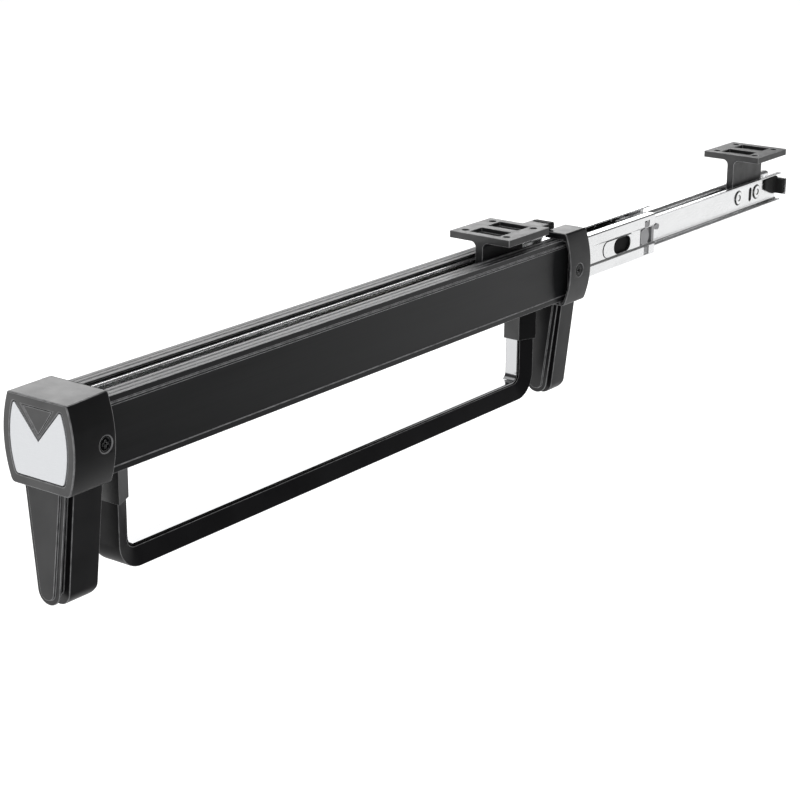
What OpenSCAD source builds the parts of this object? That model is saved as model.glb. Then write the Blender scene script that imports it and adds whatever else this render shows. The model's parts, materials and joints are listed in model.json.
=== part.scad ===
// Ceiling mounted pull-out clothes rail on two ball bearing slides, drawn fully pulled out.
// The origin is the centre of the front bracket's top face, which lies on the ceiling plane z = 0.
// +Z is up, +Y runs along the rail away from the user, and X runs across the rail.

/* [Ceiling brackets] */
// Distance between the centres of the two brackets
bracket_spacing = 400; // [390:5:410]
// Width of a bracket plate across the rail
plate_w = 55; // [52:1:58]
// Depth of a bracket plate along the rail
plate_d = 55; // [53:1:58]
// Thickness of a bracket plate
plate_t = 5.6; // [5:0.2:6]
// Spacing of the screw holes across the rail
hole_dx = 38; // [36:1:40]
// Spacing of the screw holes along the rail
hole_dy = 36.6; // [36:0.2:38]
// Diameter of each screw hole
hole_d = 6; // [4.5:0.1:6]
// Thickness of the stem that hangs from each plate
stem_t = 6.6; // [6:0.2:6.6]

/* [Ball bearing slides] */
// Length of the fixed and of the sliding rail
rail_len = 520; // [510:5:525]
// Length of the middle rail
middle_len = 450; // [430:5:460]
// Height of the outer rail
outer_h = 45.7; // [45:0.1:45.9]
// Height of the middle rail
middle_h = 35; // [34.6:0.1:35.2]
// Height of the inner rail
inner_h = 26; // [25.6:0.1:26.2]
// Overall thickness of one slide
slide_t = 12.9; // [12.8:0.1:13]
// Number of balls in each row of a ball cage
balls_per_row = 8; // [6:1:10]

/* [Carriage] */
// Width of the housing profile
housing_w = 43; // [42:0.5:44]
// Width of an end cap at its top edge
cap_w = 49; // [47:0.5:50]
// Height of an end cap
cap_h = 58.9; // [58.5:0.1:60]
// How far each side of an end cap bulges out at mid height
cap_bulge = 5.7; // [4:0.1:7]
// Depth of the front end cap
front_cap_d = 35; // [34:0.2:38]
// Depth of the rear end cap
rear_cap_d = 29.4; // [27:0.2:31]

/* [Handles] */
// Width of a handle where it meets its cap
handle_w = 34.6; // [33:0.2:37]
// Drop of a handle below its cap
handle_drop = 75.8; // [70:0.2:78]
// Radius of the round handle tip
handle_tip_r = 9.5; // [8:0.5:10]

/* [Hanging loop] */
// Width of the loop's outer face
loop_outer_w = 23.2; // [22:0.2:24]
// Width of the loop's inner face
loop_inner_w = 12.4; // [12:0.2:13]
// Thickness of the loop between those faces
loop_t = 11.8; // [10:0.2:12]
// Outer radius of the loop's lower corners
loop_r = 19; // [18:1:24]
// Height of the loop's lowest face under the ceiling
loop_bottom = 139.5; // [135:0.5:142]

/* [Hidden] */
$fn = 48;

// Slides: x is measured from the stem's middle plane, and heights from the slide's axis
slide_z = -42;
sheet_t = 1.2;
inner_web_x = stem_t / 2;
outer_web_x = inner_web_x + slide_t;
inner_front_y = -63;
middle_front_y = -233.5;
outer_front_y = -450;
middle_rear_y = middle_front_y + middle_len;
// The left middle rail is pulled out less far than the right one, and its ball cages half as much less
left_lag = 24;
inner_rear_y = inner_front_y + rail_len;
sheet_mid_h = [for (h = [inner_h, middle_h, outer_h]) (h - sheet_t) / 2];
middle_face_x = outer_web_x - 2.7;
middle_core_x = middle_face_x - 1.2;
middle_core_h = 7.9;
inner_flange_x = 9.6;
outer_ball_d = 3.5;
outer_ball_x = 9.6;
outer_ball_h = (outer_h / 2 - sheet_t + middle_h / 2) / 2;
inner_ball_d = 2.7;
inner_ball_x = 7.9;
inner_ball_h = (middle_h / 2 - sheet_t + inner_h / 2) / 2;
outer_cage_y = [-210, 40];
inner_cage_y = [-25, 178];

// Bracket fixings
rivet_dy = 17.6;
rivet_hole_d = 4.6;
rivet_head_d = 12;
rivet_z = slide_z + 0.6;
stem_bottom = -52;
pocket_w = 27.6;
pocket_d = 16.8;
pocket_dy = 12.4;
pocket_depth = 3.6;
fillet_r = 4.6;
tongue_w = 15;
tongue_rear_y = 58.4;
tongue_z = [-10.6, -5.6];
rib_rear_y = 51;
rib_low = -14.8;

// Rear end of the middle rail
notch_y = 194;
window_y = [199, 206.5];
upper_window_h = [7, 13.3];
lower_window_h = [-15.4, -9];
pad_y = [134, 178.5];

// End of the fixed rail
tab_h = [-7.2, 8];

// Slot between the rivets of a fixed rail
slot_dy = 5.5;
slot_r = 2.4;
slot_h = 3.8;
slot_z = slide_z;

// Housing and caps
cap_top = -11.3;
cap_bottom = cap_top - cap_h;
housing_top = -16.8;
housing_bottom = -66.5;
housing_y = [-474, 80];
housing_in_w = 2 * outer_web_x + 0.1;
housing_ceiling = slide_z + outer_h / 2 + 0.8;
housing_floor = slide_z - outer_h / 2 - 0.02;
lip_gap = 18.4;
front_face_y = -485.7;
front_cap_slope = 1.1;
front_cap_rear_y = front_face_y + front_cap_d;
rear_cap_y = 56.9;
rear_cap_rear_y = rear_cap_y + rear_cap_d;
rear_slot_w = 10;
screw_z = -42;
front_screw_y = front_cap_rear_y - 8.6;
rear_screw_y = rear_cap_y + 13.1;
cap_top_r = 2.4;
cap_low_r = 4;
screw_seat_d = 10.4;
screw_head_d = 8.8;
screw_d = 3.9;
fit_gap = 0.05;

// Handles
handle_top = cap_bottom;
handle_bottom = handle_top - handle_drop;
plate_thick = 1.4;
plate_tilt = 0.9;
body_extra_drop = 2.4;
groove_len = 7.4;
groove_depth = 5;
pad_inset = 3.6;
pad_proud = 1.6;
front_handle_y = front_face_y + 3.5;
front_handle_rear_y = front_cap_rear_y + 0.4;
rear_handle_y = rear_cap_y + 1.8;
rear_handle_rear_y = rear_cap_rear_y - 1;
handle_screw_dx = 9;

// Hanging loop
loop_y = [-432.8, 33.9];
loop_leg_top = -76;
socket_bottom = -92.8;
socket_wall = 0.6;
strip_w = 11;
strip_proud = 1.8;
strip_sunk = 1;
strip_gap = 0.3;

// ---- Helpers ----

// Extrudes an (x, z) outline from y0 to y1
module along_y(y0, y1) {
    translate([0, y1, 0]) rotate([90, 0, 0]) linear_extrude(y1 - y0) children();
}

// Places something on the right-hand slide, or its mirror image on the left-hand one
module side(right) {
    if (right) children(); else mirror([1, 0, 0]) children();
}

function arc(c, r, a0, a1, n = 8) =
    [for (i = [0:n]) let (a = a0 + (a1 - a0) * i / n) c + r * [cos(a), sin(a)]];
function unit(v) = v / norm(v);

// Two heights given from the slide's axis
function heights(a, b) = [slide_z + a, slide_z + b];

// Points on one side of a bent sheet: shift is the distance to the left of the path
function bend(p, i, r, shift, n = 5) =
    let (u = unit(p[i - 1] - p[i]), w = unit(p[i + 1] - p[i]), half = acos(u * w) / 2,
         c = p[i] + unit(u + w) * r / sin(half),
         start = p[i] + u * r / tan(half) - c, end = p[i] + w * r / tan(half) - c,
         left = start.x * end.y - start.y * end.x > 0 ? 1 : -1,
         a0 = atan2(start.y, start.x), turn = (180 - 2 * half) * left)
    [for (k = [0:n]) let (a = a0 + turn * k / n) c + (r - left * shift) * [cos(a), sin(a)]];
function left_of(a, b) = let (d = unit(b - a)) [-d.y, d.x];
function sheet_side(p, r, shift) = concat(
    [p[0] + left_of(p[0], p[1]) * shift],
    [for (i = [1:len(p) - 2]) each bend(p, i, r, shift)],
    [p[len(p) - 1] + left_of(p[len(p) - 2], p[len(p) - 1]) * shift]);
function reversed(v) = [for (i = [len(v) - 1:-1:0]) v[i]];

// Section of a sheet bent along a path with rounded corners
module sheet(path, r, t = sheet_t) {
    polygon(concat(sheet_side(path, r, t / 2), reversed(sheet_side(path, r, -t / 2))));
}

// Appends the mirror image of a half path below the slide axis
function both_halves(half) = concat(half, [for (q = reversed(half)) [q.x, -q.y]]);

// Straight hole or pin along X
module along_x(x0, x1, d, y, z) {
    translate([x0, y, z]) rotate([0, 90, 0]) cylinder(d = d, h = x1 - x0);
}

module box(x, y, z) {
    translate([x[0], y[0], z[0]]) cube([x[1] - x[0], y[1] - y[0], z[1] - z[0]]);
}

// ---- Ceiling brackets ----

module bracket_section() {
    half = stem_t / 2;
    polygon(concat(
        [[-plate_w / 2, 0], [-plate_w / 2, -plate_t]],
        arc([-half - fillet_r, -plate_t - fillet_r], fillet_r, 90, 0),
        [[-half, stem_bottom], [half, stem_bottom]],
        arc([half + fillet_r, -plate_t - fillet_r], fillet_r, 180, 90),
        [[plate_w / 2, -plate_t], [plate_w / 2, 0]]));
}

module bracket() {
    difference() {
        along_y(-plate_d / 2, plate_d / 2) bracket_section();
        for (x = [-1, 1], y = [-1, 1]) {
            translate([x * hole_dx / 2, y * hole_dy / 2, -plate_t - 1]) cylinder(d = hole_d, h = plate_t + 2);
            translate([x * hole_dx / 2, y * hole_dy / 2, -plate_t - 0.01])
                cylinder(d1 = hole_d + 4, d2 = hole_d, h = 2);
        }
        for (y = [-1, 1])
            translate([-pocket_w / 2, y * pocket_dy - pocket_d / 2, -pocket_depth])
                cube([pocket_w, pocket_d, pocket_depth + 1]);
        for (y = [-1, 1]) along_x(-stem_t, stem_t, rivet_hole_d, y * rivet_dy, rivet_z);
    }
}

module front_bracket() {
    color([0.11, 0.11, 0.12]) union() {
        bracket();
        box([-tongue_w / 2, tongue_w / 2], [plate_d / 2 - 6, tongue_rear_y], tongue_z);
        box([-tongue_w / 2, tongue_w / 2], [plate_d / 2 - 3.5, rib_rear_y], [rib_low, tongue_z[0] + 1]);
        box([-tongue_w / 2, tongue_w / 2], [plate_d / 2 - 6, plate_d / 2], [-9, -plate_t + 1]);
    }
}

module rear_bracket() {
    color([0.11, 0.11, 0.12]) translate([0, bracket_spacing, 0]) bracket();
}

// Rubber buffer on the rear end of the front bracket's tongue
module bracket_buffer() {
    half = tongue_w / 2 + 0.4;
    top_bottom = [tongue_z[0] - 0.1, tongue_z[1] + 0.5];
    dot_y = tongue_rear_y + 3;
    color([0.04, 0.04, 0.04]) difference() {
        box([-half, half], [tongue_rear_y, tongue_rear_y + 6], top_bottom);
        for (z = [-6.8, -9.2]) along_x(half - 0.5, half + 1, 1.5, dot_y, z);
        for (z = [-6.8, -9.2]) along_x(-half - 1, 0.5 - half, 1.5, dot_y, z);
    }
}

// ---- Slides: fixed inner rails ----

tab_y = inner_rear_y - 0.6;
tab_end_x = 15.1;

module inner_rail(right) {
    half = [[inner_flange_x, sheet_mid_h[0]], [inner_web_x + sheet_t / 2, sheet_mid_h[0]]];
    web = [inner_web_x, inner_web_x + sheet_t];
    color([0.82, 0.83, 0.84]) side(right) union() {
        difference() {
            translate([0, 0, slide_z]) along_y(inner_front_y, tab_y) sheet(both_halves(half), 2.4);
            for (b = [0, bracket_spacing], y = [-1, 1])
                along_x(web[0] - 1, web[1] + 1, rivet_hole_d, b + y * rivet_dy, rivet_z);
            // Coined ring round each rivet head
            for (b = [0, bracket_spacing], y = [-1, 1]) difference() {
                along_x(web[1] - 0.5, web[1] + 1, rivet_head_d + 1.3, b + y * rivet_dy, rivet_z);
                along_x(web[1] - 1, web[1] + 2, rivet_head_d, b + y * rivet_dy, rivet_z);
            }
            for (b = [0, bracket_spacing]) {
                mid = b + slot_dy;
                box([web[0] - 1, web[1] + 1], [mid - slot_r, mid + slot_r], heights(-slot_h, slot_h));
                for (h = [-slot_h, slot_h]) along_x(web[0] - 1, web[1] + 1, 2 * slot_r, mid, slot_z + h);
            }
            for (y = [inner_front_y + 70 : 90 : bracket_spacing / 2])
                along_x(web[0] - 1, web[1] + 1, 6, y, slide_z);
        }
        box([inner_web_x, tab_end_x], [tab_y, tab_y + sheet_t], heights(tab_h[0], tab_h[1]));
    }
}

// Rubber buffer in the rear corner of a fixed rail: a pad on the web and a block against the bent tab
module end_stop(right) {
    web = inner_web_x + sheet_t;
    color([0.16, 0.16, 0.17]) side(right) union() {
        translate([web, 0, slide_z]) rotate([90, 0, 90]) linear_extrude(1.8)
            polygon([[tab_y - 24.5, 9.4], [tab_y, 9.4], [tab_y, -6.2], [tab_y - 8, -6.2], [tab_y - 24.5, 0]]);
        box([web, tab_end_x - 1.8], [tab_y - 3.4, tab_y], heights(-6.2, 7.4));
    }
}

// Plastic lever inside a fixed rail that lets the middle rail be taken off
module release_lever(right) {
    lever_x = [inner_web_x + sheet_t, inner_flange_x - 0.4];
    color([0.05, 0.05, 0.055]) side(right) translate([0, 0, slide_z]) union() {
        box([lever_x[0], lever_x[0] + 1.4], [188, 221], [-1.6, 3.4]);
        box(lever_x, [218.4, 222], [-9.6, 5.2]);
        box(lever_x, [221.8, 227], [2, 4.4]);
        along_x(lever_x[0], lever_x[1], 5.4, 228, 3.2);
    }
}

// Two rivets, each through both fixed rails and the stem between them
module bracket_rivets(y) {
    rail_face = inner_web_x + sheet_t;
    color([0.86, 0.87, 0.88]) for (dy = [-1, 1]) union() {
        along_x(-rail_face, rail_face, rivet_hole_d - 0.1, y + dy * rivet_dy, rivet_z);
        for (right = [true, false]) side(right) difference() {
            along_x(rail_face, rail_face + 1.1, rivet_head_d, y + dy * rivet_dy, rivet_z);
            along_x(rail_face + 0.5, rail_face + 2, 5, y + dy * rivet_dy, rivet_z);
        }
    }
}

// ---- Slides: middle rails ----

// Shift along the rail of the parts that lag behind on the left-hand side
module lagging(right, share) {
    translate([0, right ? 0 : left_lag * share, 0]) children();
}

module middle_rail(right) {
    core_x = middle_core_x - sheet_t / 2;
    face_x = middle_face_x - sheet_t / 2;
    half = [[5.9, sheet_mid_h[1]], [face_x, sheet_mid_h[1]],
            [face_x, middle_core_h + 1], [core_x, middle_core_h - 0.6]];
    pad_x = core_x + sheet_t / 2;
    color([0.86, 0.87, 0.88]) lagging(right, 1) side(right) difference() {
        union() {
            translate([0, 0, slide_z]) along_y(middle_front_y, middle_rear_y) sheet(both_halves(half), 0.9);
            // Raised pad round the oval hole, with a rounded front end
            along_x(core_x, pad_x + 0.5, 13.8, pad_y[0] + 6.9, slide_z);
            box([core_x, pad_x + 0.5], [pad_y[0] + 6.9, pad_y[1]], heights(-6.9, 6.9));
        }
        for (oval = [front_oval_y, oval_y]) {
            for (y = oval) along_x(core_x - 2, core_x + 3, oval_d, y, slide_z);
            box([core_x - 2, core_x + 3], oval, heights(-oval_d / 2, oval_d / 2));
        }
        box([core_x - 2, core_x + 2], [notch_y, middle_rear_y + 1], heights(-6.9, 6.9));
        box([core_x - 2, face_x + 2], window_y, heights(upper_window_h[0], upper_window_h[1]));
        box([core_x - 2, face_x + 2], window_y, heights(lower_window_h[0], lower_window_h[1]));
    }
}

oval_d = 12.6;
oval_y = [157.1, 170.6];
front_oval_y = [middle_front_y + 34, middle_front_y + 47.5];

// Plastic end stop clipped into the rear end of a middle rail
module middle_stop(right) {
    back_x = 9.95;
    core = middle_core_x - sheet_t;
    disc_d = 14.2;
    tooth_x = [back_x, middle_face_x - 0.3];
    tooth_y = [window_y[0] + 0.4, window_y[1] - 0.4];
    color([0.28, 0.28, 0.29]) lagging(right, 1) side(right) translate([0, 0, slide_z]) union() {
        box([back_x, core - 0.05], [notch_y - 6, notch_y + 13], [-15, 14]);
        intersection() {
            along_x(back_x, middle_face_x - 0.6, disc_d, notch_y + 6.2, -0.2);
            box([back_x, middle_face_x], [notch_y + 0.8, middle_rear_y], [-6.7, 6.7]);
        }
        box(tooth_x, tooth_y, [upper_window_h[0] + 0.4, upper_window_h[1] - 1.2]);
        box(tooth_x, tooth_y, [lower_window_h[0] + 1.2, lower_window_h[1] - 0.4]);
    }
}

// ---- Slides: ball cages and balls ----

function ball_rows(y, count) = [for (i = [0:count - 1]) y[0] + 12 + (y[1] - y[0] - 24) * i / (count - 1)];

// Strip bent round a rail's flanges, with a round hole for each ball: steel outside, black plastic inside
module cage(right, start_x, web_x, h, t, y, ball_x, ball_d) {
    lagging(right, 0.5) side(right) translate([0, 0, slide_z]) difference() {
        along_y(y[0], y[1]) sheet([[start_x, h], [web_x, h], [web_x, -h], [start_x, -h]], 0.6, t);
        for (by = ball_rows(y, balls_per_row))
            translate([ball_x, by, -h - 2]) cylinder(d = ball_d + 0.3, h = 2 * h + 4);
    }
}

module balls(right, d, x, h, y) {
    color([0.9, 0.9, 0.92]) lagging(right, 0.5) side(right)
        for (by = ball_rows(y, balls_per_row), s = [-1, 1]) translate([x, by, slide_z + s * h]) sphere(d = d);
}

module outer_cage(right) {
    web_x = (middle_face_x + outer_web_x - sheet_t) / 2;
    color([0.72, 0.70, 0.62])
        cage(right, 6.9, web_x, outer_ball_h, 0.6, outer_cage_y, outer_ball_x, outer_ball_d);
}

module inner_cage(right) {
    color([0.05, 0.05, 0.055])
        cage(right, 5.7, inner_flange_x + 0.75, inner_ball_h, 0.5, inner_cage_y, inner_ball_x, inner_ball_d);
}

module outer_balls(right) {
    balls(right, outer_ball_d, outer_ball_x, outer_ball_h, outer_cage_y);
}

module inner_balls(right) {
    balls(right, inner_ball_d, inner_ball_x, inner_ball_h, inner_cage_y);
}

// ---- Slides: outer rails, riveted to the housing ----

module outer_rail(right) {
    lip_x = 6;
    web_x = outer_web_x - sheet_t / 2;
    half = [[lip_x, sheet_mid_h[2] - 1.8], [lip_x, sheet_mid_h[2]], [web_x, sheet_mid_h[2]]];
    color([0.82, 0.83, 0.84]) side(right) difference() {
        translate([0, 0, slide_z])
            along_y(outer_front_y, outer_front_y + rail_len) sheet(both_halves(half), 0.8);
        for (y = rail_rivets_y) along_x(web_x - 2, web_x + 2, 3.4, y, rail_rivet_z);
        for (y = rail_rivets_y) translate([outer_web_x - sheet_t - 0.01, y, rail_rivet_z]) rotate([0, 90, 0])
            cylinder(d1 = 5.6, d2 = 3.4, h = 1.1);
    }
}

rail_rivets_y = [for (i = [0:2]) outer_front_y + 40 + i * (rail_len - 80) / 2];
rail_rivet_z = slide_z + 9;
skin_t = 1.2;

// Flush rivets that hold the outer rails to the inner skins of the housing
module outer_rail_rivets() {
    head_x = outer_web_x - sheet_t;
    tail_x = housing_in_w / 2 + skin_t;
    color([0.8, 0.8, 0.8]) for (right = [true, false], y = rail_rivets_y) side(right) union() {
        along_x(head_x, tail_x + 1, 3.3, y, rail_rivet_z);
        translate([head_x, y, rail_rivet_z]) rotate([0, 90, 0]) cylinder(d1 = 5.4, d2 = 3.3, h = 1.1);
        along_x(tail_x, tail_x + 1, 5.4, y, rail_rivet_z);
    }
}

// ---- Housing ----

module housing_half_cuts() {
    half = housing_w / 2;
    chamber_x = [housing_in_w / 2 + skin_t, half - 1.8];
    for (z = [[housing_floor + 0.6, screw_z - 3], [screw_z + 3, housing_ceiling - 0.6]])
        translate([chamber_x[0], z[0]]) square([chamber_x[1] - chamber_x[0], z[1] - z[0]]);
    // Grooves in the lip, fine ridges near the top of the side, and the recessed side panel
    translate([12.2, housing_top - 0.5]) square([2.2, 1]);
    translate([17.5, housing_top - 0.3]) square([0.7, 1]);
    translate([half - 0.5, housing_top - 4.9]) square([1, 0.9]);
    translate([half - 0.6, housing_bottom + 4.1]) square([1, 39.1]);
}

module housing() {
    color([0.13, 0.13, 0.14]) difference() {
        along_y(housing_y[0], housing_y[1]) difference() {
            translate([-housing_w / 2, housing_bottom]) square([housing_w, housing_top - housing_bottom]);
            translate([-housing_in_w / 2, housing_floor])
                square([housing_in_w, housing_ceiling - housing_floor]);
            translate([-lip_gap / 2, housing_ceiling - 1]) square([lip_gap, 10]);
            housing_half_cuts();
            mirror([1, 0]) housing_half_cuts();
        }
        for (y = [front_screw_y, rear_screw_y], right = [true, false]) side(right)
            along_x(outer_web_x, housing_w / 2 + 1, screw_d + 0.1, y, screw_z);
        for (right = [true, false], y = rail_rivets_y) side(right)
            along_x(outer_web_x, housing_in_w / 2 + skin_t + 0.2, 3.4, y, rail_rivet_z);
        for (y = socket_mid_y) translate([0, y, housing_bottom - 1]) cylinder(d = loop_screw_d + 0.1, h = 5);
    }
}

// ---- End caps ----

// Outline of a cap: flat top and bottom, bulging sides, rounded corners
module cap_section(inset = 0) {
    half = cap_w / 2 - inset;
    h = cap_h - 2 * inset;
    mid_z = cap_top - cap_h / 2;
    r = (h * h / 4 + cap_bulge * cap_bulge) / (2 * cap_bulge);
    top_r = max(cap_top_r - inset, 0.5);
    low_r = cap_low_r - inset;
    a_top = asin((h / 2 - top_r) / (r - top_r));
    a_low = asin((h / 2 - low_r) / (r - low_r));
    c = [half + cap_bulge - r, mid_z];
    right = concat(
        arc(c + (r - top_r) * [cos(a_top), sin(a_top)], top_r, 90, a_top, 5),
        arc(c, r, a_top, -a_low, 20),
        arc(c + (r - low_r) * [cos(a_low), -sin(a_low)], low_r, -a_low, -90, 6));
    polygon(concat(right, [for (q = reversed(right)) [-q.x, q.y]]));
}

module cap_bore(y0, y1) {
    pad = fit_gap;
    box([-housing_w / 2 - pad, housing_w / 2 + pad], [y0, y1], [housing_bottom - pad, housing_top + pad]);
}

module cap_screw_seats(y) {
    for (right = [true, false]) side(right) {
        along_x(housing_w / 2 - 1, cap_w / 2 + 10, screw_d + 0.1, y, screw_z);
        along_x(cap_w / 2 + cap_bulge - 2.6, cap_w / 2 + 10, screw_seat_d, y, screw_z);
    }
}

module handle_screw_holes(y) {
    for (x = [-1, 1]) translate([x * handle_screw_dx, y, cap_bottom - 1]) {
        cylinder(d = 3.6, h = 10);
        translate([0, 0, housing_bottom - cap_bottom + 1 - 2.2]) cylinder(d1 = 3.6, d2 = 6.8, h = 2.2);
    }
}

// Side view of the front cap, whose top falls a little towards the front
module front_cap_profile() {
    polygon([[front_face_y - 1, cap_bottom - 1], [front_cap_rear_y + 1, cap_bottom - 1],
             [front_cap_rear_y + 1, cap_top + 0.01], [front_cap_rear_y, cap_top + 0.01],
             [front_face_y, cap_top - front_cap_slope], [front_face_y - 1, cap_top - front_cap_slope]]);
}

module front_cap() {
    color([0.08, 0.08, 0.085]) difference() {
        intersection() {
            along_y(front_face_y, front_cap_rear_y) cap_section();
            translate([-cap_w, 0, 0]) rotate([90, 0, 90]) linear_extrude(2 * cap_w) front_cap_profile();
        }
        cap_bore(housing_y[0] - 0.1, front_cap_rear_y + 1);
        cap_screw_seats(front_screw_y);
        along_y(front_face_y - 1, front_face_y + insert_t) insert_section(-insert_gap);
        along_y(front_face_y - 1, front_face_y + 0.5) polygon(triangle_recess);
        handle_screw_holes(front_handle_screw_y);
    }
}

module rear_cap() {
    color([0.08, 0.08, 0.085]) difference() {
        along_y(rear_cap_y, rear_cap_rear_y) cap_section();
        cap_bore(rear_cap_y - 1, housing_y[1] + 0.1);
        box([-housing_in_w / 2, housing_in_w / 2], [rear_cap_y, rear_cap_rear_y + 1],
            [housing_floor, housing_top]);
        box([-rear_slot_w / 2, rear_slot_w / 2], [rear_cap_y - 1, rear_cap_rear_y + 1],
            [housing_top - 1, cap_top + 1]);
        for (right = [true, false]) side(right) intersection() {
            along_y(rear_cap_y - 1, rear_cap_y + 8.5) cap_section(1.8);
            box([housing_w / 2 - 1, cap_w], [rear_cap_y - 2, rear_cap_y + 10], [cap_bottom, housing_top - 1]);
        }
        cap_screw_seats(rear_screw_y);
        handle_screw_holes(rear_handle_screw_y);
    }
}

// Screw with a round head and a cross recess, through a cap's side into the housing
module cap_screw(y) {
    head_x = cap_w / 2 + cap_bulge - 2.6;
    difference() {
        union() {
            along_x(housing_in_w / 2 + 0.6, head_x, screw_d, y, screw_z);
            along_x(head_x, head_x + 1.9, screw_head_d, y, screw_z);
        }
        for (a = [0, 90]) translate([head_x + 0.7, y, screw_z]) rotate([a, 0, 0])
            translate([0, -2.4, -0.6]) cube([3, 4.8, 1.2]);
    }
}

module cap_screws(y) {
    color([0.05, 0.05, 0.05]) for (right = [true, false]) side(right) cap_screw(y);
}

// ---- Front insert: a pale plate with a notch in its top edge ----

insert_t = 2;
insert_half_w = 20.1;
insert_bulge = 3.9;
insert_top = -18.2;
insert_low = -63.3;
insert_gap = 0.6;
insert_notch_z = -39.6;
triangle_recess = [[-12.9, -18.6], [12.9, -18.6], [0, -35.8]];

module insert_section(inset = 0) {
    half = insert_half_w - inset;
    top = insert_top - inset;
    low = insert_low + inset;
    h = top - low;
    r = (h * h / 4 + insert_bulge * insert_bulge) / (2 * insert_bulge);
    c = [half + insert_bulge - r, (top + low) / 2];
    peak_r = max(1.2 - inset, 0.6);
    low_r = 2.5 - inset;
    a_top = asin((h / 2 - peak_r) / (r - peak_r));
    a_low = asin((h / 2 - low_r) / (r - low_r));
    right = concat(
        arc(c + (r - peak_r) * [cos(a_top), sin(a_top)], peak_r, 125, a_top, 5),
        arc(c, r, a_top, -a_low, 14),
        arc(c + (r - low_r) * [cos(a_low), -sin(a_low)], low_r, -a_low, -90, 5));
    notch = [0, insert_notch_z - inset * 1.4];
    polygon(concat(right, [for (q = reversed(right)) [-q.x, q.y]], [notch]));
}

module front_insert() {
    color([0.88, 0.89, 0.91]) along_y(front_face_y, front_face_y + insert_t - 0.05) insert_section(0);
}

// ---- Handles ----

// Tapered outline with a round tip, inset all round and lowered at the tip by the given amounts
module handle_section(inset = 0, lower = 0) {
    r = handle_tip_r - inset;
    c = [0, handle_bottom - lower + handle_tip_r];
    p = [handle_w / 2 - inset, handle_top];
    a = atan2(p.y - c.y, p.x - c.x) - acos(r / norm(p - c));
    tip = arc(c, r, a, -180 - a, 18);
    polygon(concat([p], tip, [[-p.x, p.y]]));
}

// Tilts something about the top front edge of a handle, so that it leans forward at the tip
module tilted(y0) {
    translate([0, y0, handle_top]) rotate([-plate_tilt, 0, 0]) translate([0, 0, -handle_top]) children();
}

// Body of a handle: the full section with its rear lower corner rounded, and a narrow neck in front of it
module handle_body(y0, y1) {
    corner = 9;
    body_y = y0 + groove_len;
    body_low = handle_bottom - body_extra_drop;
    intersection() {
        along_y(body_y, y1) handle_section(0.3, body_extra_drop);
        translate([-handle_w, 0, 0]) rotate([90, 0, 90]) linear_extrude(2 * handle_w)
            polygon(concat([[body_y - 1, handle_top], [body_y - 1, body_low]],
                arc([y1 - corner, body_low + corner], corner, -90, 0), [[y1, handle_top]]));
    }
    intersection() {
        tilted(y0) along_y(plate_thick, plate_thick + 12) handle_section(groove_depth);
        box([-handle_w, handle_w], [y0 - 20, body_y + 1], [handle_bottom - 20, handle_top]);
    }
}

module handle_bores(y) {
    for (x = [-1, 1]) translate([x * handle_screw_dx, y, handle_top - 14]) cylinder(d = 3.5, h = 15);
}

// Front plate of a handle, with a raised pad inside its rim
module handle_plate(y0) {
    intersection() {
        tilted(y0) union() {
            along_y(0, plate_thick) handle_section(0);
            along_y(-pad_proud, plate_thick / 2) handle_section(pad_inset);
        }
        box([-handle_w, handle_w], [y0 - 20, y0 + 20], [handle_bottom - 20, handle_top]);
    }
}

module handle_screws(y) {
    color([0.6, 0.6, 0.62]) for (x = [-1, 1]) translate([x * handle_screw_dx, y, 0]) union() {
        translate([0, 0, handle_top - 13]) cylinder(d = 3.4, h = housing_bottom - 0.1 - handle_top + 13);
        translate([0, 0, housing_bottom - 2.25]) cylinder(d1 = 3.4, d2 = 6.4, h = 2.1);
    }
}

front_handle_screw_y = -465;
rear_handle_screw_y = rear_cap_y + 14;

module front_handle() {
    color([0.075, 0.075, 0.08]) difference() {
        handle_body(front_handle_y, front_handle_rear_y);
        handle_bores(front_handle_screw_y);
    }
}

module front_handle_plate() {
    color([0.09, 0.09, 0.095]) handle_plate(front_handle_y);
}

module rear_handle() {
    color([0.075, 0.075, 0.08]) difference() {
        handle_body(rear_handle_y, rear_handle_rear_y);
        handle_bores(rear_handle_screw_y);
    }
}

module rear_handle_plate() {
    color([0.09, 0.09, 0.095]) handle_plate(rear_handle_y);
}

// ---- Hanging loop ----

loop_screw_d = 4.8;
loop_mid_y = (loop_y[0] + loop_y[1]) / 2;
loop_half = (loop_y[1] - loop_y[0]) / 2;
socket_mid_y = [loop_y[0] + 6.4, loop_y[1] - 6.4];

// Section of the loop: x across, and y inward from its outer face
module loop_section(x0, x1, depth) {
    polygon([[-x0, 0], [x0, 0], [x1, depth], [-x1, depth]]);
}

module loop_body_section() {
    difference() {
        loop_section(loop_outer_w / 2, loop_inner_w / 2, loop_t);
        translate([-strip_w / 2 - strip_gap, loop_t - strip_sunk - 0.3]) square([strip_w + 2 * strip_gap, 5]);
    }
}

module strip_section() {
    translate([-strip_w / 2, loop_t - strip_sunk]) square([strip_w, strip_sunk + strip_proud]);
}

// Carries an (x, inward) section round the U: two legs, two corners and the bar
module round_loop(leg_top) {
    leg_len = leg_top + loop_bottom - loop_r;
    bar_len = loop_half - loop_r;
    for (s = [0, 1])
    translate([0, loop_mid_y, 0]) mirror([0, s, 0]) translate([0, -loop_half, -loop_bottom]) {
        translate([0, 0, loop_r]) linear_extrude(leg_len) children();
        translate([0, loop_r, loop_r]) rotate([180, 0, 0]) rotate([0, 90, 0]) rotate([0, 0, 90])
            rotate_extrude(angle = 90, $fn = 96) rotate([0, 0, 90]) translate([0, -loop_r]) children();
        translate([0, loop_r, 0]) rotate([90, 0, 180]) mirror([1, 0, 0]) linear_extrude(bar_len) children();
    }
}

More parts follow.
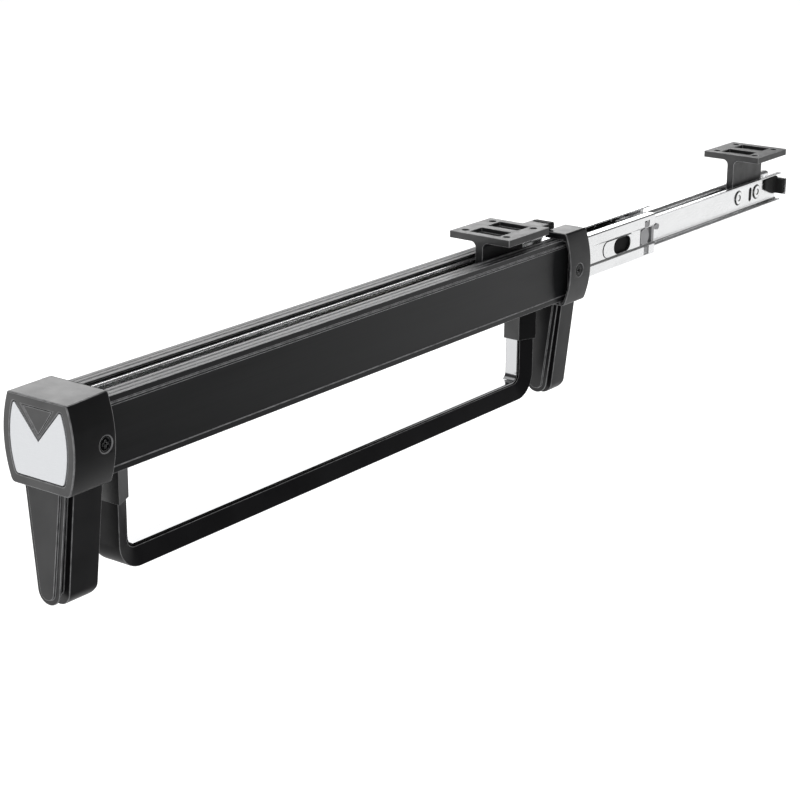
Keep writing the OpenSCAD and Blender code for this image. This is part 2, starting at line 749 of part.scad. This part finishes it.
module hanging_loop() {
    color([0.085, 0.085, 0.09]) difference() {
        round_loop(loop_leg_top) loop_body_section();
        for (y = socket_mid_y) translate([0, y, loop_leg_top - 12]) cylinder(d = loop_screw_d, h = 20);
    }
}

module loop_strip() {
    color([0.85, 0.86, 0.88]) round_loop(loop_leg_top) strip_section();
}

// Socket under the housing that takes one leg of the loop
module loop_socket(mid) {
    y0 = -socket_wall;
    depth = loop_t + strip_proud + 2 * socket_wall;
    difference() {
        linear_extrude(housing_bottom - socket_bottom) translate([0, y0]) loop_section(13.3, 7.1, depth);
        translate([0, 0, -1]) linear_extrude(loop_leg_top - socket_bottom + 1)
            offset_section();
        translate([0, mid, -1]) cylinder(d = loop_screw_d + 0.1, h = 40);
    }
}

// Pocket in a socket: the leg and its strip with a little play
module offset_section() {
    g = fit_gap;
    translate([0, -g]) loop_section(loop_outer_w / 2 + g, loop_inner_w / 2 + g, loop_t + 2 * g);
    translate([-strip_w / 2 - g, 0]) square([strip_w + 2 * g, loop_t + strip_proud + g]);
}

module front_loop_socket() {
    color([0.08, 0.08, 0.085]) translate([0, loop_y[0], socket_bottom]) loop_socket(6.4);
}

module rear_loop_socket() {
    color([0.08, 0.08, 0.085]) translate([0, loop_y[1], socket_bottom]) mirror([0, 1, 0]) loop_socket(6.4);
}

// Pan head screws from inside the housing, down through the sockets into the legs
module loop_screws() {
    color([0.6, 0.6, 0.62]) for (y = socket_mid_y) translate([0, y, 0]) union() {
        translate([0, 0, loop_leg_top - 10])
            cylinder(d = loop_screw_d, h = housing_floor - loop_leg_top + 10);
        translate([0, 0, housing_floor]) cylinder(d = 8.4, h = 2.6);
    }
}

front_bracket();
rear_bracket();
bracket_buffer();
inner_rail(false);  // inner_rail_left
inner_rail(true);  // inner_rail_right
bracket_rivets(0);  // front_bracket_rivets
bracket_rivets(bracket_spacing);  // rear_bracket_rivets
end_stop(false);  // end_stop_left
end_stop(true);  // end_stop_right
release_lever(false);  // release_lever_left
release_lever(true);  // release_lever_right
middle_rail(false);  // middle_rail_left
middle_rail(true);  // middle_rail_right
middle_stop(false);  // middle_stop_left
middle_stop(true);  // middle_stop_right
inner_cage(false);  // inner_cage_left
inner_cage(true);  // inner_cage_right
inner_balls(false);  // inner_balls_left
inner_balls(true);  // inner_balls_right
outer_cage(false);  // outer_cage_left
outer_cage(true);  // outer_cage_right
outer_balls(false);  // outer_balls_left
outer_balls(true);  // outer_balls_right
outer_rail(false);  // outer_rail_left
outer_rail(true);  // outer_rail_right
outer_rail_rivets();
housing();
front_cap();
front_insert();
cap_screws(front_screw_y);  // front_cap_screws
front_handle();
front_handle_plate();
handle_screws(front_handle_screw_y);  // front_handle_screws
rear_cap();
cap_screws(rear_screw_y);  // rear_cap_screws
rear_handle();
rear_handle_plate();
handle_screws(rear_handle_screw_y);  // rear_handle_screws
front_loop_socket();
rear_loop_socket();
loop_screws();
hanging_loop();
loop_strip();
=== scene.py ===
# Ceiling mounted pull-out clothes rail, pulled out, in black with a silver front insert.
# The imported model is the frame. +Z is up, +Y runs along the rail away from the user,
# lengths are in metres.
import json
import math

import bmesh
import bpy
from mathutils import Matrix, Vector


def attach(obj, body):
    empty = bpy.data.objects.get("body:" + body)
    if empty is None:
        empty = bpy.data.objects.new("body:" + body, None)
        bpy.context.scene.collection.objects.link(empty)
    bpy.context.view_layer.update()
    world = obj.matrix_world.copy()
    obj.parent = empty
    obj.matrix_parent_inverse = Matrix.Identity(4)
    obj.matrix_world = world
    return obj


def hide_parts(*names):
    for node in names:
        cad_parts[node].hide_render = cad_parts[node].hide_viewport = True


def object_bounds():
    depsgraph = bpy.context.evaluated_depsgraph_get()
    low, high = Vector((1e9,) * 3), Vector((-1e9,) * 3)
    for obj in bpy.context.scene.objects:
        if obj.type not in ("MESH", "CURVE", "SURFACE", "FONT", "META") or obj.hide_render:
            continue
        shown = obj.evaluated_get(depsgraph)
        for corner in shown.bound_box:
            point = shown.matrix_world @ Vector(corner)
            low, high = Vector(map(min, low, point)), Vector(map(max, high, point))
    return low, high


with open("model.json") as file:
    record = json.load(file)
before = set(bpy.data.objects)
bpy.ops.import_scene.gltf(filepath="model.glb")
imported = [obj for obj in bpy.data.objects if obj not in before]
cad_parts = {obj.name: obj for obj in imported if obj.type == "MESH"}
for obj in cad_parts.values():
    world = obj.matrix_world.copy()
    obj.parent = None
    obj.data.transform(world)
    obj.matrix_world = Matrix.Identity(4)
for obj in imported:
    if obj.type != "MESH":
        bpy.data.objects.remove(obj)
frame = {"nodes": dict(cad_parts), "record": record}
cad_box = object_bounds()

MM = 0.001
# Face attribute marking the rounded edges, where materials paint edge highlights and edge shade.
EDGE = "painted_edge_light"

# Brightness of the room, and of what reflections see of it: low down, high up, straight up and
# behind the rail.
# The fades are ranges of a direction's height, or of its agreement with BEHIND.
ROOM = 1.12
ROOM_LOW = 0.95
ROOM_HIGH = 0.1
ROOM_TOP = 1.2
SKY_FADE = (0.0, 0.3)
TOP_FADE = (0.68, 0.86)
BEHIND = (-0.598, 0.801, 0.0)
CARD_SHADE = 0.15
CARD_FADE = (0.93, 0.985)

FLOOR_DROP = 0.45
FLOOR_HALF = 12.0

# Rounding of the CAD copies: corners closer than this are joined, faces flatter than this are merged,
# and edges sharper than this are rounded
WELD_MM = 0.03
FLAT_DEGREES = 0.6
SHARP_DEGREES = 28
BEVEL_SEGMENTS = 2


# ---- Camera ----

def add_camera():
    """A long lens, above and to the right of the pulled-out end."""
    data = bpy.data.cameras.new("camera")
    data.lens = 92.62
    data.sensor_width = 36.0
    data.clip_start = 0.05
    data.clip_end = 30
    camera = bpy.data.objects.new("camera", data)
    right = Vector((0.80007501, 0.59986884, 0.00611079))
    down = Vector((0.19055467, -0.24446712, -0.95074957))
    forward = right.cross(down)
    turn = Matrix((right, -down, -forward)).transposed().to_4x4()
    camera.matrix_world = Matrix.Translation((0.863016, -1.282327, 0.364437)) @ turn
    bpy.context.scene.collection.objects.link(camera)
    bpy.context.scene.camera = camera


# ---- Surroundings ----

def add_area(name, place, target, size, power):
    """A soft rectangular lamp aimed at a point, hidden from the camera."""
    data = bpy.data.lights.new(name, "AREA")
    data.shape = "RECTANGLE"
    data.size, data.size_y = size
    data.energy = power
    light = bpy.data.objects.new(name, data)
    light.location = place
    aim = Vector(target) - Vector(place)
    light.rotation_euler = aim.to_track_quat("-Z", "Y").to_euler()
    light.visible_camera = False
    bpy.context.scene.collection.objects.link(light)


def add_world():
    """A white room. Reflections of it darken with height and behind the rail, and brighten straight up."""
    world = bpy.data.worlds.new("studio")
    bpy.context.scene.world = world
    world.use_nodes = True
    nodes = world.node_tree.nodes
    links = world.node_tree.links
    background = nodes["Background"]
    background.inputs["Color"].default_value = (1, 1, 1, 1)

    def ramp(value, low, high, out_low, out_high):
        node = nodes.new("ShaderNodeMapRange")
        node.interpolation_type = "SMOOTHSTEP"
        limits = {"From Min": low, "From Max": high, "To Min": out_low, "To Max": out_high}
        for name, number in limits.items():
            node.inputs[name].default_value = number
        links.new(value, node.inputs["Value"])
        return node.outputs["Result"]

    def maths(how, first, second):
        node = nodes.new("ShaderNodeMath")
        node.operation = how
        for socket, value in zip(node.inputs, (first, second)):
            if isinstance(value, float):
                socket.default_value = value
            else:
                links.new(value, socket)
        return node.outputs["Value"]

    toward = nodes.new("ShaderNodeTexCoord").outputs["Generated"]
    split = nodes.new("ShaderNodeSeparateXYZ")
    links.new(toward, split.inputs["Vector"])
    height = ramp(split.outputs["Z"], *SKY_FADE, ROOM_LOW, ROOM_HIGH)
    height = maths("ADD", height, ramp(split.outputs["Z"], *TOP_FADE, 0.0, ROOM_TOP))
    behind = nodes.new("ShaderNodeVectorMath")
    behind.operation = "DOT_PRODUCT"
    links.new(toward, behind.inputs[0])
    behind.inputs[1].default_value = BEHIND
    card = ramp(behind.outputs["Value"], *CARD_FADE, 1.0, CARD_SHADE)
    reflected = maths("MULTIPLY", height, card)
    glossy = nodes.new("ShaderNodeLightPath").outputs["Is Glossy Ray"]
    seen = maths("MULTIPLY", maths("SUBTRACT", 1.0, glossy), ROOM)
    strength = maths("ADD", maths("MULTIPLY", glossy, reflected), seen)
    links.new(strength, background.inputs["Strength"])


def add_flag(name, low, high):
    """A dark card that only reflections see, upright at x = low[0]."""
    mesh = bpy.data.meshes.new(name)
    x = low[0]
    corners = [(x, low[1], low[2]), (x, high[1], low[2]), (x, high[1], high[2]), (x, low[1], high[2])]
    mesh.from_pydata(corners, [], [(0, 1, 2, 3)])
    card = bpy.data.objects.new(name, mesh)
    bpy.context.scene.collection.objects.link(card)
    material = bpy.data.materials.new(name + "_black")
    material.use_nodes = True
    shader = material.node_tree.nodes["Principled BSDF"]
    shader.inputs["Base Color"].default_value = (0.01, 0.01, 0.01, 1)
    shader.inputs["Specular IOR Level"].default_value = 0.0
    mesh.materials.append(material)
    card.visible_camera = False
    card.visible_diffuse = False
    card.visible_shadow = False


def add_floor():
    """A large pale floor below the rail, which reflections don't see and which casts no shadow."""
    mesh = bpy.data.meshes.new("floor")
    low = cad_box[0][2] - FLOOR_DROP
    corners = [(x * FLOOR_HALF, y * FLOOR_HALF, low) for x, y in ((-1, -1), (1, -1), (1, 1), (-1, 1))]
    mesh.from_pydata(corners, [], [(0, 1, 2, 3)])
    floor = bpy.data.objects.new("floor", mesh)
    bpy.context.scene.collection.objects.link(floor)
    material = bpy.data.materials.new("floor_white")
    material.use_nodes = True
    shader = material.node_tree.nodes["Principled BSDF"]
    shader.inputs["Base Color"].default_value = (0.93, 0.93, 0.93, 1)
    shader.inputs["Roughness"].default_value = 0.9
    mesh.materials.append(material)
    floor.visible_glossy = False
    floor.visible_shadow = False


# ---- Materials ----

class Finish:
    """A principled material built node by node. Texture sizes are given in millimetres."""

    def __init__(self, name, colour, roughness, metallic=0.0, specular=0.5):
        self.material = bpy.data.materials.new(name)
        self.material.use_nodes = True
        self.tree = self.material.node_tree
        self.shader = self.tree.nodes["Principled BSDF"]
        self.colour = colour
        self.roughness = roughness
        sockets = self.shader.inputs
        sockets["Base Color"].default_value = (*colour, 1)
        sockets["Roughness"].default_value = roughness
        sockets["Metallic"].default_value = metallic
        sockets["Specular IOR Level"].default_value = specular
        self.place = self.tree.nodes.new("ShaderNodeTexCoord")
        self.normal = None

    def noise(self, size_mm, stretch=(1, 1, 1), detail=4.0, rough=0.55):
        """Noise whose blobs are about size_mm across, drawn out along an axis by its stretch."""
        mapping = self.tree.nodes.new("ShaderNodeMapping")
        mapping.inputs["Scale"].default_value = [1 / s for s in stretch]
        self.tree.links.new(self.place.outputs["Object"], mapping.inputs["Vector"])
        noise = self.tree.nodes.new("ShaderNodeTexNoise")
        noise.inputs["Scale"].default_value = 1 / (size_mm * MM)
        noise.inputs["Detail"].default_value = detail
        noise.inputs["Roughness"].default_value = rough
        self.tree.links.new(mapping.outputs["Vector"], noise.inputs["Vector"])
        return noise.outputs["Fac"]

    def spread(self, value, low, high, out_low, out_high):
        """Maps part of a texture's range onto an output range."""
        node = self.tree.nodes.new("ShaderNodeMapRange")
        node.inputs["From Min"].default_value = low
        node.inputs["From Max"].default_value = high
        node.inputs["To Min"].default_value = out_low
        node.inputs["To Max"].default_value = out_high
        self.tree.links.new(value, node.inputs["Value"])
        return node.outputs["Result"]

    def combine(self, first, second, how="MULTIPLY"):
        """Joins two values by a maths operation."""
        node = self.tree.nodes.new("ShaderNodeMath")
        node.operation = how
        self.tree.links.new(first, node.inputs[0])
        self.tree.links.new(second, node.inputs[1])
        return node.outputs["Value"]

    def vary_roughness(self, value, amount):
        """Spreads the roughness by the given amount either way."""
        result = self.spread(value, 0.3, 0.7, self.roughness - amount, self.roughness + amount)
        self.tree.links.new(result, self.shader.inputs["Roughness"])

    def vary_colour(self, value, dark, light):
        """Mixes the base colour between a darker and a lighter version of itself."""
        mix = self.tree.nodes.new("ShaderNodeMix")
        mix.data_type = "RGBA"
        mix.inputs["A"].default_value = (*[c * dark for c in self.colour], 1)
        mix.inputs["B"].default_value = (*[min(1, c * light) for c in self.colour], 1)
        self.tree.links.new(self.spread(value, 0.3, 0.7, 0, 1), mix.inputs["Factor"])
        self.tree.links.new(mix.outputs["Result"], self.shader.inputs["Base Color"])

    def paint_edge_light(self, colour, least=0.55):
        """Paints another colour on the rounded edges, patchily, from the skins' own edge attribute: a
        painted highlight where it is paler than the base, painted shade where it is darker.
        """
        edge = self.tree.nodes.new("ShaderNodeAttribute")
        edge.attribute_name = EDGE
        patches = self.spread(self.noise(5, detail=3), 0.35, 0.6, least, 1.0)
        amount = self.combine(edge.outputs["Fac"], patches)
        mix = self.tree.nodes.new("ShaderNodeMix")
        mix.data_type = "RGBA"
        mix.inputs["B"].default_value = (*colour, 1)
        self.tree.links.new(amount, mix.inputs["Factor"])
        base = self.shader.inputs["Base Color"]
        if base.is_linked:
            self.tree.links.new(base.links[0].from_socket, mix.inputs["A"])
        else:
            mix.inputs["A"].default_value = (*self.colour, 1)
        self.tree.links.new(mix.outputs["Result"], base)

    def bump(self, value, depth_mm, strength=1.0):
        """Adds a bump of the given height on top of any earlier one."""
        node = self.tree.nodes.new("ShaderNodeBump")
        node.inputs["Strength"].default_value = strength
        node.inputs["Distance"].default_value = depth_mm * MM
        self.tree.links.new(value, node.inputs["Height"])
        if self.normal is not None:
            self.tree.links.new(self.normal, node.inputs["Normal"])
        self.normal = node.outputs["Normal"]
        self.tree.links.new(self.normal, self.shader.inputs["Normal"])


def moulded_plastic(name, colour, roughness, specular=0.5, edge=0.12):
    """Satin moulded plastic: a fine spark-eroded texture, faint flow marks and a painted highlight on its
    paler edges.
    """
    finish = Finish(name, colour, roughness, specular=specular)
    finish.vary_roughness(finish.noise(16, detail=3), 0.05)
    finish.vary_colour(finish.noise(30, detail=2), 0.85, 1.2)
    # Paler edges: a painted edge highlight.
    finish.paint_edge_light((edge, edge, edge * 1.02))
    finish.bump(finish.noise(0.45, detail=2), 0.012, 0.6)
    finish.bump(finish.noise(14, stretch=(1, 2.5, 1), detail=1), 0.03, 0.5)
    return finish.material


def coated_metal(name, colour, roughness):
    """Powder coat: a fine orange-peel skin with slight patches in its sheen and thin, paler edges that are
    a painted highlight.
    """
    finish = Finish(name, colour, roughness, specular=0.5)
    finish.vary_roughness(finish.noise(9, detail=3), 0.06)
    finish.vary_colour(finish.noise(4, detail=5), 0.85, 1.2)
    # Paler edges: a painted edge highlight.
    finish.paint_edge_light((0.2, 0.2, 0.204))
    finish.bump(finish.noise(0.7, detail=2), 0.02, 0.7)
    return finish.material


def anodised(name, colour, roughness):
    """Anodised extrusion: fine die lines along Y and a faint change of sheen across them."""
    finish = Finish(name, colour, roughness, metallic=0.35, specular=0.5)
    lines = finish.noise(0.5, stretch=(1, 400, 1), detail=3)
    finish.vary_roughness(finish.combine(lines, finish.noise(20, stretch=(1, 6, 1)), "MAXIMUM"), 0.06)
    finish.vary_colour(lines, 0.8, 1.3)
    # Paler edges: a painted edge highlight.
    finish.paint_edge_light((0.22, 0.22, 0.225))
    finish.bump(lines, 0.006, 0.5)
    return finish.material


def rolled_steel(name, colour, roughness, stretch=(1, 60, 1), edge=0.06):
    """Bright zinc plate: rolling lines along Y, soft patches of sheen, dull specks and painted shade
    darkening its edges.
    """
    finish = Finish(name, colour, roughness, metallic=1.0)
    grain = finish.noise(0.5, stretch=stretch, detail=4)
    patches = finish.noise(12, stretch=(1, 3, 1), detail=4)
    finish.vary_roughness(finish.combine(grain, patches, "MAXIMUM"), 0.08)
    finish.vary_colour(finish.combine(patches, finish.noise(1.2, detail=5), "MAXIMUM"), 0.88, 1.06)
    # Darker edges: painted edge shade.
    finish.paint_edge_light((edge, edge, edge), 0.7)
    finish.bump(grain, 0.004, 0.5)
    finish.bump(finish.noise(7, detail=2), 0.02, 0.4)
    return finish.material


def brushed_insert(name, colour, roughness):
    """Satin silver plate with fine brushing across it."""
    finish = Finish(name, colour, roughness, metallic=0.3)
    brush = finish.noise(0.18, stretch=(60, 1, 1), detail=3)
    finish.vary_roughness(brush, 0.06)
    finish.vary_colour(brush, 0.94, 1.04)
    # Darker edges: painted edge shade.
    finish.paint_edge_light((0.3, 0.3, 0.31))
    finish.bump(brush, 0.003, 0.4)
    return finish.material


def polished(name, colour, roughness, edge=0.2):
    """Mirror bright metal with faint polishing haze and waviness, and another colour painted on its edges:
    painted shade where it is darker, a painted highlight where it is paler.
    """
    finish = Finish(name, colour, roughness, metallic=1.0)
    finish.vary_roughness(finish.noise(8, stretch=(1, 4, 1)), 0.03)
    # Edge colour: painted edge shade on the bright metals, a painted highlight on the black screws.
    finish.paint_edge_light((edge, edge, edge))
    finish.bump(finish.noise(11, stretch=(1, 3, 1), detail=1), 0.02, 0.4)
    return finish.material


def rubber(name, colour, roughness):
    """Matt rubber with a fine pebbled skin."""
    finish = Finish(name, colour, roughness, specular=0.3)
    finish.vary_roughness(finish.noise(3), 0.06)
    finish.bump(finish.noise(0.5, detail=2), 0.03, 0.7)
    return finish.material


# Where given, the edge argument of the plastic, steel and polished finishes is a painted edge colour: paler
# than the body it is a painted highlight, darker it is painted shade.
MATERIALS = {
    "bracket_black": coated_metal("bracket_black", (0.01, 0.01, 0.0106), 0.4),
    "rubber_black": rubber("rubber_black", (0.012, 0.012, 0.012), 0.7),
    "slide_steel": rolled_steel("slide_steel", (0.9, 0.905, 0.91), 0.22),
    "rivet_steel": rolled_steel("rivet_steel", (0.9, 0.905, 0.91), 0.2, stretch=(1, 1, 1)),
    "stop_plastic": moulded_plastic("stop_plastic", (0.2, 0.2, 0.205), 0.5, 0.5, 0.45),
    "cage_plastic": moulded_plastic("cage_plastic", (0.006, 0.006, 0.006), 0.5, 0.05, 0.02),
    "cage_steel": rolled_steel("cage_steel", (0.66, 0.65, 0.62), 0.35),
    "ball_steel": polished("ball_steel", (0.85, 0.85, 0.87), 0.08),
    "housing_black": anodised("housing_black", (0.009, 0.0093, 0.01), 0.36),
    "cap_plastic": moulded_plastic("cap_plastic", (0.005, 0.005, 0.0054), 0.34, 0.4, 0.14),
    "insert_silver": brushed_insert("insert_silver", (0.43, 0.438, 0.45), 0.34),
    "screw_black": polished("screw_black", (0.02, 0.02, 0.021), 0.28, 0.3),
    "handle_plastic": moulded_plastic("handle_plastic", (0.006, 0.006, 0.0065), 0.34, 0.22, 0.16),
    "screw_steel": rolled_steel("screw_steel", (0.7, 0.7, 0.71), 0.3, stretch=(1, 1, 1)),
    "loop_plastic": moulded_plastic("loop_plastic", (0.006, 0.006, 0.0065), 0.33, 0.08, 0.14),
    "strip_chrome": polished("strip_chrome", (0.26, 0.262, 0.266), 0.14, 0.03),
}

SLOT_OF = {part["node"]: part["material_slot"] for part in frame["record"]["subparts"]}
BODIES = frame["record"]["behaviour"]["bodies"]
BODY_OF = {node: body for body, nodes in BODIES.items() for node in nodes}


def dress(node):
    """Gives a CAD node its material through its material slots."""
    data = frame["nodes"][node].data
    data.materials.clear()
    data.materials.append(MATERIALS[SLOT_OF[node]])


# ---- Rounded copies of the CAD pieces ----

def rounded(node, width_mm):
    """Copies a node, joins its flat faces and rounds its sharp edges, staying inside the node's own box."""
    source = frame["nodes"][node]
    mesh = source.data.copy()
    mesh.name = node + "_skin"
    bm = bmesh.new()
    bm.from_mesh(mesh)
    bmesh.ops.remove_doubles(bm, verts=bm.verts, dist=WELD_MM * MM)
    bmesh.ops.dissolve_limit(bm, angle_limit=math.radians(FLAT_DEGREES), verts=bm.verts, edges=bm.edges)
    bmesh.ops.triangulate(bm, faces=bm.faces)
    limit = math.radians(SHARP_DEGREES)
    edges = [e for e in bm.edges if len(e.link_faces) == 2 and e.calc_face_angle(0) > limit]
    mark = bm.faces.layers.float.new(EDGE)
    made = bmesh.ops.bevel(bm, geom=edges, offset=width_mm * MM, offset_type="OFFSET",
                           segments=BEVEL_SEGMENTS, profile=0.5, affect="EDGES",
                           clamp_overlap=False, loop_slide=False)
    # Marks the new bevel faces for the painted edge highlights and edge shade.
    for face in made["faces"]:
        face[mark] = 1.0
    bmesh.ops.triangulate(bm, faces=[f for f in bm.faces if len(f.verts) > 4], ngon_method="EAR_CLIP")
    low = [min(v.co[axis] for v in source.data.vertices) for axis in range(3)]
    high = [max(v.co[axis] for v in source.data.vertices) for axis in range(3)]
    for vert in bm.verts:
        vert.co = [min(max(vert.co[axis], low[axis]), high[axis]) for axis in range(3)]
    bm.to_mesh(mesh)
    bm.free()
    piece = bpy.data.objects.new(node + "_skin", mesh)
    bpy.context.scene.collection.objects.link(piece)
    mesh.materials.clear()
    mesh.materials.append(MATERIALS[SLOT_OF[node]])
    mesh.shade_smooth()
    weighted = piece.modifiers.new("weighted", "WEIGHTED_NORMAL")
    weighted.keep_sharp = True
    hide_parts(node)
    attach(piece, BODY_OF[node])


ROUNDING = {
    "front_bracket": 0.4, "rear_bracket": 0.4, "bracket_buffer": 0.2,
    "front_bracket_rivets": 0.45, "rear_bracket_rivets": 0.45,
    "end_stop_left": 0.4, "end_stop_right": 0.4,
    "release_lever_left": 0.3, "release_lever_right": 0.3,
    "middle_stop_left": 0.25, "middle_stop_right": 0.25,
    "middle_rail_left": 0.3, "middle_rail_right": 0.3,
    "inner_rail_left": 0.3, "inner_rail_right": 0.3,
    "housing": 0.35, "front_cap": 0.8, "rear_cap": 0.7, "front_insert": 0.2,
    "front_cap_screws": 0.25, "rear_cap_screws": 0.25,
    "front_handle": 0.5, "rear_handle": 0.5,
    "front_handle_plate": 0.45, "rear_handle_plate": 0.45,
    "front_loop_socket": 0.2, "rear_loop_socket": 0.2,
    "hanging_loop": 0.5, "loop_strip": 0.4,
}

for node in frame["nodes"]:
    dress(node)
for node, width in ROUNDING.items():
    rounded(node, width)

bpy.context.scene.view_settings.view_transform = "Standard"
add_camera()
add_world()
add_floor()
add_flag("side_flag", (0.95, -0.9, -2.2), (0.95, 1.1, 0.7))
add_area("rear_left", (-2.2, 1.95, 1.45), (0, 0, -0.04), (2.9, 2.1), 56)
add_area("front_left", (-0.95, -1.75, -0.52), (0, -0.47, -0.05), (1.3, 0.9), 6.5)
